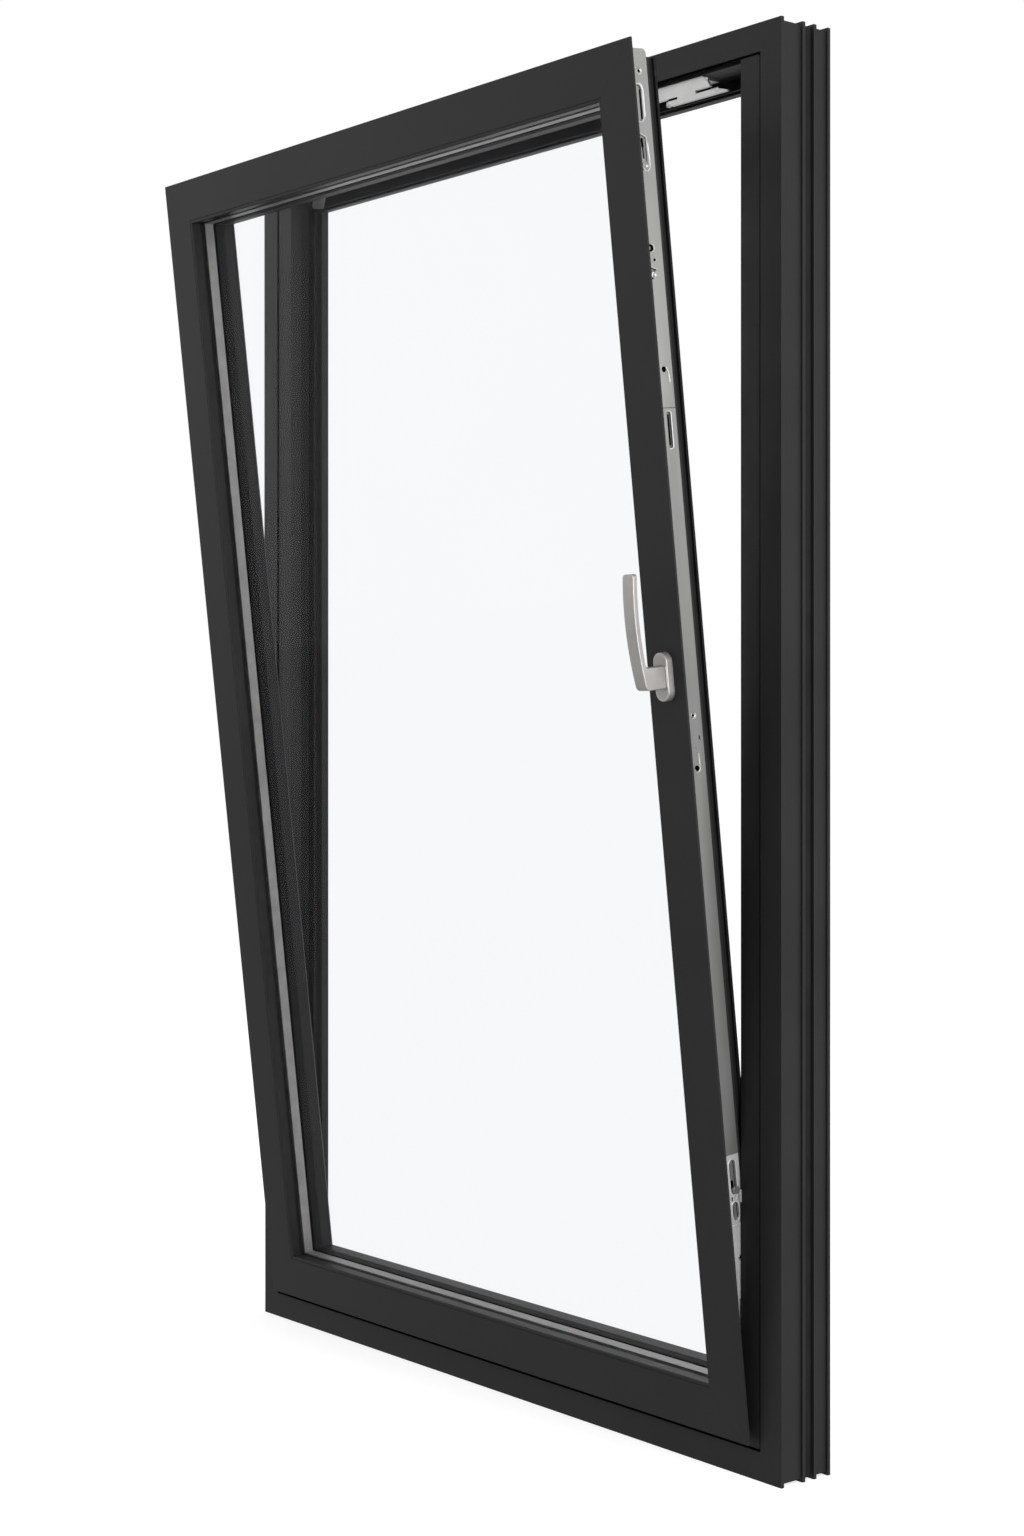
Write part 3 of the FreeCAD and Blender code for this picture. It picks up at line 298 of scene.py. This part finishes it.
def new_piece(name, mesh, slot, finish=None):
    """Hands a finished mesh to the frame as a piece that stays with the window."""
    piece = bpy.data.objects.new(name, mesh)
    bpy.context.scene.collection.objects.link(piece)
    mesh.materials.append(MATERIALS[finish or slot])
    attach(piece, "root")
    return piece


def turned(name, profile, matrix, slot, finish=None):
    """A turned piece about its own Z; the profile is pairs of radius and height, from the middle outwards."""
    steps = 32
    mesh = bpy.data.meshes.new(name)
    shape = bmesh.new()
    rings = []
    for radius, height in profile:
        if radius == 0:
            rings.append([shape.verts.new((0, 0, height))])
            continue
        ring = []
        for step in range(steps):
            angle = 2 * math.pi * step / steps
            ring.append(shape.verts.new((radius * math.cos(angle), radius * math.sin(angle), height)))
        rings.append(ring)
    for inner, outer in zip(rings, rings[1:]):
        for step in range(steps):
            after = (step + 1) % steps
            corners = [inner[step % len(inner)], outer[step % len(outer)], outer[after % len(outer)],
                       inner[after % len(inner)]]
            shape.faces.new(list(dict.fromkeys(corners)))
    bmesh.ops.recalc_face_normals(shape, faces=shape.faces)
    shape.to_mesh(mesh)
    shape.free()
    mesh.transform(matrix)
    for face in mesh.polygons:
        face.use_smooth = True
    return new_piece(name, mesh, slot, finish)


def cross_cutter(name, radius, depth, matrix):
    """Two crossed bars that taper downwards, for the recess of a screw head."""
    shape = bmesh.new()
    for turn in (0, math.pi / 2):
        bar = bmesh.ops.create_cube(shape, size=1.0)["verts"]
        for vertex in bar:
            reach = 1.0 if vertex.co.z > 0 else 0.55
            vertex.co.x *= 2 * radius * reach
            vertex.co.y *= 0.42 * radius
            vertex.co.z *= 2 * depth
        bmesh.ops.rotate(shape, verts=bar, cent=(0, 0, 0), matrix=Matrix.Rotation(turn, 3, "Z"))
    mesh = bpy.data.meshes.new(name)
    shape.to_mesh(mesh)
    shape.free()
    mesh.transform(matrix)
    cutter = bpy.data.objects.new(name, mesh)
    bpy.context.scene.collection.objects.link(cutter)
    return cutter


def cut_from(piece, cutter):
    """Cuts one mesh from another for good and removes the cutter."""
    cut = piece.modifiers.new("cut", "BOOLEAN")
    cut.operation = "DIFFERENCE"
    cut.solver = "EXACT"
    cut.use_self = True
    cut.object = cutter
    bpy.context.view_layer.update()
    baked = bpy.data.meshes.new_from_object(piece.evaluated_get(bpy.context.evaluated_depsgraph_get()))
    piece.modifiers.clear()
    old = piece.data
    piece.data = baked
    bpy.data.meshes.remove(old)
    bpy.data.objects.remove(cutter)


def screw(name, matrix, radius):
    """A screw head with a rolled rim, and a disc of painted shade under its cross recess."""
    profile = [
        (0, -0.0002), (radius * 0.5, 0.0), (radius * 0.72, 0.0005), (radius * 0.88, 0.0004), (radius, 0.0),
        (radius, -0.0001), (radius * 0.5, -0.0002), (radius * 0.45, -0.0026), (0, -0.0026),
    ]
    head = turned(name, profile, matrix, "hardware_metal")
    cut_from(head, cross_cutter(name + "_cutter", radius * 0.62, 0.0011, matrix))
    recess_shade = [(0, 0.0001), (radius * 0.38, 0.0), (radius * 0.42, -0.0008), (0, -0.0008)]
    turned(name + "_socket", recess_shade, matrix, "polyamide", finish="painted_shade")


def rivet(name, matrix, radius, height):
    """A domed head, in a lighter finish that paints a highlight on it."""
    profile = [
        (0, height), (radius * 0.5, height * 0.93), (radius * 0.85, height * 0.6), (radius, 0.0),
        (radius, -0.0004), (0, -0.0004),
    ]
    turned(name, profile, matrix, "hardware_metal", finish="painted_highlight")


def rolled_edge(name, points, width, out=0.0, closed=False, surface=stile_point, slot="hardware_metal",
                finish="painted_highlight"):
    """A round bar along points on a surface, in millimetres; half sunk, it reads as a pressed lip; its
    default finish is a painted highlight.
    """
    curve = bpy.data.curves.new(name + "_path", "CURVE")
    curve.dimensions = "3D"
    curve.bevel_depth = width / 2000
    curve.bevel_resolution = 3
    curve.use_fill_caps = not closed
    spline = curve.splines.new("POLY")
    spline.points.add(len(points) - 1)
    for knot, (across, height) in zip(spline.points, points):
        knot.co = (*surface(across, height, out), 1)
    spline.use_cyclic_u = closed
    holder = bpy.data.objects.new(name + "_path", curve)
    mesh = bpy.data.meshes.new_from_object(holder)
    mesh.name = name
    mesh.materials.clear()
    for face in mesh.polygons:
        face.use_smooth = True
    bpy.data.objects.remove(holder)
    bpy.data.curves.remove(curve)
    new_piece(name, mesh, slot, finish)


# Painted shade in the openings between the pressed parts: name, points, width and distance out of the plate
SHADE_STRIPS = (
    ("cam_slot_shade", [(33.0, 1354.5), (33.0, 1383.5)], 1.6, -2.2),
    ("latch_window_shade", [(30.4, 1335.0), (30.8, 1326.0)], 2.8, -2.4),
    ("latch_window_groove_shade", [(30.8, 1327.0), (31.2, 1315.0)], 1.6, -2.2),
    ("notch_gap", arc((28.6, 1225.4), 2.9, 75, -75), 2.0, -0.9),
    ("rod_slot_shade", [(34.6, 1027.0), (34.6, 1058.0)], 2.0, -2.4),
    ("raised_panel_left_line", [(25.7, 1068.0), (25.7, 1097.0)], 0.6, 0.1),
    ("raised_panel_right_line", [(42.2, 1069.0), (42.2, 1096.0)], 0.6, 0.1),
    ("fork_cam_shade", [(32.6, 266.0), (32.6, 257.0)], 5.0, -2.4),
    ("fork_upper_shade", [(31.0, 284.0), (31.0, 270.0)], 2.4, -2.2),
    ("fork_lower_shade", [(31.2, 239.5), (31.2, 229.0)], 2.4, -2.2),
    ("fork_notch_shade", [(30.2, 245.4), (30.2, 249.6)], 2.6, -0.9),
)


def build_rolled_edges():
    """Lips and rims with painted highlights and gaps of painted shade, from the top of the lock stile down,
    then handle, keep and frame.
    """
    # The rims and lips of the openings are lighter than the plate: painted highlights
    rolled_edge("cam_slot_rim", slot_rim(29.5, 1350.8, 1389.0, 5.4), 2.2, out=-0.8, closed=True,
                finish="painted_lit_satin_metal")
    cam_lip = [(36.0, 1356.0), (36.0, 1382.0), (34.6, 1387.4), (31.4, 1389.6)]
    rolled_edge("cam_slot_lip", cam_lip, 1.6, out=-0.2)
    window = [(25.2, 1340.4), (34.8, 1336.3)] + arc((32.5, 1307.4), 5.0, 10, -150)
    rolled_edge("latch_window_rim", window, 1.8, out=-0.5, finish="painted_lit_satin_metal")
    window_lip = [(36.4, 1330.0), (37.4, 1312.0), (36.6, 1305.0), (33.0, 1301.8)]
    rolled_edge("latch_window_lip", window_lip, 1.4, out=-0.2)
    rolled_edge("half_round_rim", arc((29.1, 1225.4), 4.1, 85, -85), 0.9)
    rolled_edge("small_hole_rim", arc((32.5, 1213.5), 1.9, 60, -100), 0.7)
    rolled_edge("hook_lip", [(25.2, 1207.3), (29.5, 1206.0), (34.6, 1203.9)], 0.9)
    guide = arc((32.5, 1103.6), 3.5, 60, 10, steps=4)
    guide += [(37.2, 1102.6), (38.3, 1098.5), (38.9, 1094.0), (39.2, 1090.5)]
    rolled_edge("guide_lip", guide, 1.5, out=0.3)
    rod_slot = arc((34.0, 1058.6), 3.2, 130, 0) + arc((34.0, 1026.6), 3.2, 0, -130)
    rolled_edge("rod_slot_rim", rod_slot, 1.5, out=-0.2)
    gear = [(35.6, 712.0), (36.3, 704.0)] + arc((32.5, 697.0), 3.8, 10, -120)
    rolled_edge("gear_hole_rim", gear, 1.1)
    rolled_edge("fork_upper_rim", slot_rim(34.0, 252.2, 288.8, 5.1), 1.4, out=-0.1, closed=True)
    rolled_edge("fork_lower_rim", slot_rim(34.0, 223.9, 244.3, 5.1), 1.4, out=-0.1, closed=True)
    rolled_edge("fork_cover_edge", [(26.4, 220.4), (43.6, 220.4)], 1.5, out=0.9)
    rolled_edge("fork_hole_rim", arc((34.0, 185.5), 2.6, 60, -120), 0.7, out=1.2)
    for name, points, width, out in SHADE_STRIPS:
        rolled_edge(name, points, width, out, slot="polyamide", finish="painted_shade")
    rolled_edge("hook_latch", [(26.4, 1195.5), (29.4, 1201.5)], 3.4, out=-1.2, finish="painted_lit_metal")
    rolled_edge("fork_roller", [(33.2, 247.6), (36.6, 248.4)], 2.8, out=0.4)
    # The rosette's rim in a lighter metal: a painted highlight
    rolled_edge("rosette_rim", slot_rim(0.0, -23.6, 23.6, 8.6), 1.4, out=7.9, closed=True,
                surface=rosette_point, slot="handle_metal", finish="painted_lit_metal")
    collar = []
    for across, height, start in ((6.0, 9.5, 0), (-6.0, 9.5, 90), (-6.0, -9.5, 180), (6.0, -9.5, 270)):
        collar += arc((across, height), 2.6, start, start + 90)
    rolled_edge("neck_collar", collar, 1.4, out=8.6, closed=True, surface=rosette_point,
                slot="handle_metal", finish="handle_metal")
    # Lines of painted highlight along the keep's nose and lobe
    rolled_edge("keep_nose_edge", [(-38.0, -0.6), (-32.0, -3.3), (-26.0, -13.0)], 0.9, out=0.2,
                surface=keep_point)
    rolled_edge("keep_lobe_edge", [(-25.0, -17.4), (-17.0, -17.4), (-0.6, -22.3)], 0.9, out=0.2,
                surface=keep_point)
    # A strip of painted shade in the gap under the keep's hook
    hook_gap = [(-91.6, -17.0), (-90.2, -16.2), (-87.0, -15.8), (-82.0, -15.9), (-77.5, -16.1)]
    rolled_edge("keep_hook_gap", hook_gap, 2.6, out=-0.7, surface=keep_point, slot="polyamide",
                finish="painted_shade")
    # Strips over the wedge that the solids of the top rail and the lock stile share by a fault; without
    # them it renders as two black squares
    for name, depth in (("corner_joint_front", 45.5), ("corner_joint_back", 55.5)):
        rolled_edge(name, [(depth, 1398.0), (depth, 1402.8)], 3.4, out=-1.4, slot="frame_coating",
                    finish="frame_coating")
    # A line of painted shade all round the frame's landing, where the step to its rim lies in shadow
    side, low, high = 444.0, 31.0, 1469.0
    rolled_edge("landing_shadow_line", [(-side, low), (side, low), (side, high), (-side, high)], 2.6, closed=True,
                surface=landing_point, slot="rubber_seal", finish="painted_shade")


def build_small_hardware():
    """Screws, rivets and pins with painted highlights, discs of painted shade in the plates' holes, and the
    keep's studs and hook tip.
    """
    for name, height in (("plate_screw_top", 1401.4), ("plate_screw_handle", 751.5)):
        screw(name, on_stile(height / 1000), 0.0036)
        # A crescent of painted highlight on one side of the screw's rim
        rolled_edge(name + "_rim", arc((32.5, height), 3.2, 50, -120), 0.9, out=0.2)
    for name, height in (("bracket_screw_upper", 0.1855), ("bracket_screw_lower", 0.1598)):
        screw(name, on_stile(height, 0.0012, 0.034), 0.0032)
    facing_room = Matrix.Rotation(math.pi / 2, 4, "X")
    for name, across, height in (("keep_nose_stud", -31.5, -4.5), ("keep_lobe_stud", -15.0, -18.8)):
        rivet(name, Matrix.Translation(keep_point(across, height, 0)) @ facing_room, 0.0021, 0.0013)
    hook = Matrix.Translation(keep_point(-90.4, -20.1, 0)) @ facing_room
    round_tip = [(0, 0.0002), (0.0032, 0.0002), (0.0035, -0.0001), (0.0035, -0.0028), (0, -0.0028)]
    turned("keep_hook_tip", round_tip, hook, "hardware_metal", finish="painted_lit_metal")
    rivet("latch_rivet", on_stile(1.3071, -0.001, 0.0332), 0.0019, 0.0014)
    rivet("hook_pin", on_stile(1.1982, 0.0, 0.0312), 0.0024, 0.0018)
    rivet("notch_pin", on_stile(1.2254, -0.0012, 0.0266), 0.0022, 0.0009)
    # Discs of painted shade deep in the holes
    for name, height, radius in (("small_hole_shade", 1.2135, 0.00155), ("guide_hole_shade", 1.1036, 0.0029),
                                 ("gear_hole_shade", 0.697, 0.0029)):
        disc = [(0, -0.0006), (radius, -0.0006), (radius, -0.0012), (0, -0.0012)]
        turned(name, disc, on_stile(height), "polyamide", finish="painted_shade")


# Stage

def stage_material():
    """A floor that is white with a soft shadow to the camera, plain white in the glass, paper to the rest."""
    material, nodes, links, shader = new_material("floor_paper")
    soft = noise(nodes, links, 2.0)
    links.new(tint(nodes, links, soft, (0.8, 0.8, 0.8), (0.82, 0.82, 0.82)), shader.inputs["Base Color"])
    shader.inputs["Roughness"].default_value = 0.9
    shader.inputs["Specular IOR Level"].default_value = 0.0
    pale = nodes.new("ShaderNodeBsdfDiffuse")
    pale.inputs["Color"].default_value = (0.5, 0.5, 0.5, 1)
    both = nodes.new("ShaderNodeAddShader")
    links.new(pale.outputs["BSDF"], both.inputs[0])
    links.new(emission(nodes, FLOOR_GLOW), both.inputs[1])
    seen = (
        ("Is Camera Ray", both.outputs["Shader"]),
        ("Is Glossy Ray", emission(nodes, FLOOR_MIRRORED)),
        ("Is Transmission Ray", emission(nodes, BACKDROP)),
    )
    surface = shader.outputs["BSDF"]
    path = nodes.new("ShaderNodeLightPath")
    for ray, look in seen:
        mix = nodes.new("ShaderNodeMixShader")
        links.new(path.outputs[ray], mix.inputs["Fac"])
        links.new(surface, mix.inputs[1])
        links.new(look, mix.inputs[2])
        surface = mix.outputs["Shader"]
    links.new(surface, nodes["Material Output"].inputs["Surface"])
    return material


def seen_directly(nodes, links):
    """1 for rays from the camera and for those that glossy or clear surfaces send on."""
    path = nodes.new("ShaderNodeLightPath")
    total = path.outputs["Is Camera Ray"]
    for name in ("Is Glossy Ray", "Is Transmission Ray"):
        either = nodes.new("ShaderNodeMath")
        either.operation = "MAXIMUM"
        links.new(total, either.inputs[0])
        links.new(path.outputs[name], either.inputs[1])
        total = either.outputs["Value"]
    return total


def build_floor():
    """A wide sheet under the window's foot."""
    low = CAD_BOX[0][2]
    sides = ((-1, -1), (1, -1), (1, 1), (-1, 1))
    mesh = bpy.data.meshes.new("floor")
    mesh.from_pydata([(x * FLOOR_REACH, y * FLOOR_REACH, low) for x, y in sides], [], [(0, 1, 2, 3)])
    floor = bpy.data.objects.new("floor", mesh)
    bpy.context.scene.collection.objects.link(floor)
    mesh.materials.append(stage_material())


def build_world():
    """A white studio that looks brighter than it lights."""
    world = bpy.data.worlds.new("studio")
    bpy.context.scene.world = world
    world.use_nodes = True
    nodes, links = world.node_tree.nodes, world.node_tree.links
    ambient = nodes["Background"]
    backdrop = nodes.new("ShaderNodeBackground")
    for background, strength in ((ambient, AMBIENT_LIGHT), (backdrop, BACKDROP)):
        background.inputs["Color"].default_value = (1, 1, 1, 1)
        background.inputs["Strength"].default_value = strength
    mix = nodes.new("ShaderNodeMixShader")
    links.new(seen_directly(nodes, links), mix.inputs["Fac"])
    links.new(ambient.outputs["Background"], mix.inputs[1])
    links.new(backdrop.outputs["Background"], mix.inputs[2])
    links.new(mix.outputs["Shader"], nodes["World Output"].inputs["Surface"])


def add_lamp(name, place, width, power):
    """A square lamp that is turned to the window."""
    lamp = bpy.data.lights.new(name, "AREA")
    lamp.size = width
    lamp.energy = power
    holder = bpy.data.objects.new(name, lamp)
    bpy.context.scene.collection.objects.link(holder)
    holder.location = place
    aim = Vector(LAMP_TARGET) - Vector(place)
    holder.rotation_euler = aim.to_track_quat("-Z", "Y").to_euler()


def build_camera():
    """The photograph's camera, with its horizon moved by a shift, since it looks level."""
    camera = bpy.data.cameras.new("photo_camera")
    camera.sensor_width = SENSOR_WIDTH
    camera.lens = FOCAL_PIXELS * SENSOR_WIDTH / PHOTO_HEIGHT
    camera.shift_y = (HORIZON_ROW - PHOTO_HEIGHT / 2) / PHOTO_HEIGHT
    holder = bpy.data.objects.new("photo_camera", camera)
    bpy.context.scene.collection.objects.link(holder)
    holder.location = CAMERA_AT
    holder.rotation_euler = (math.radians(90), 0, math.radians(CAMERA_TURN))
    bpy.context.scene.camera = holder


def build_stage():
    build_floor()
    build_world()
    for lamp in LAMPS:
        add_lamp(*lamp)
    build_camera()
    bpy.context.scene.view_settings.view_transform = "Standard"


dress_nodes()
build_small_hardware()
build_rolled_edges()
build_stage()
